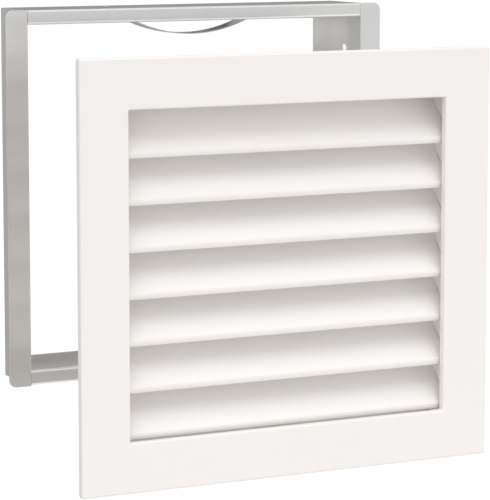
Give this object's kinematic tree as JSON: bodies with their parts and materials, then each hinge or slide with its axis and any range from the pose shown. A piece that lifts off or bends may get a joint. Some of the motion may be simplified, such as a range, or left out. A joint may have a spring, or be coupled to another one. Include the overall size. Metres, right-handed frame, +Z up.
{
  "type": "louvred air grille",
  "caption": "Louvred air grille: a white folded front panel with fixed slats in a collar, pushed into a sheet-metal wall frame under a leaf spring.",
  "frame": {"origin": "middle of the wall opening, in the plane of the wall: the back of the mounting frame's ears, midway between their ends", "axes": "+X right as seen from the room, +Y into the wall, +Z up; the grille's face looks along -Y"},
  "size_m": [0.26, 0.156, 0.2618],
  "materials": {
    "white_coat": "warm white powder coat, semi-matt",
    "galvanised_sheet": "bare galvanised sheet, satin",
    "spring_steel": "bright spring strip",
    "rivet_metal": "plain aluminium"
  },
  "bodies": {
    "frame": {"frame_side_left": "galvanised_sheet", "frame_side_right": "galvanised_sheet", "frame_top": "galvanised_sheet", "frame_bottom": "galvanised_sheet", "corner_rivet_top_left": "rivet_metal", "corner_rivet_top_right": "rivet_metal", "corner_rivet_bottom_left": "rivet_metal", "corner_rivet_bottom_right": "rivet_metal", "leaf_spring": "spring_steel", "spring_rivet_left": "rivet_metal", "spring_rivet_right": "rivet_metal"},
    "grille": {"front_panel": "white_coat", "slat_carrier_left": "white_coat", "slat_carrier_right": "white_coat", "collar_top": "white_coat", "collar_bottom": "white_coat", "collar_rivet_top_left": "rivet_metal", "collar_rivet_top_right": "rivet_metal", "collar_rivet_bottom_left": "rivet_metal", "collar_rivet_bottom_right": "rivet_metal", "slat_1": "white_coat", "slat_2": "white_coat", "slat_3": "white_coat", "slat_4": "white_coat", "slat_5": "white_coat", "slat_6": "white_coat", "slat_7": "white_coat"}
  },
  "joints": [
    {"name": "grille_push_in", "type": "slide", "parent": "frame", "child": "grille", "axis": [0, 0.9609, 0.2768], "range_m": [0, 0.11436], "deforming": ["leaf_spring"]}
  ]
}
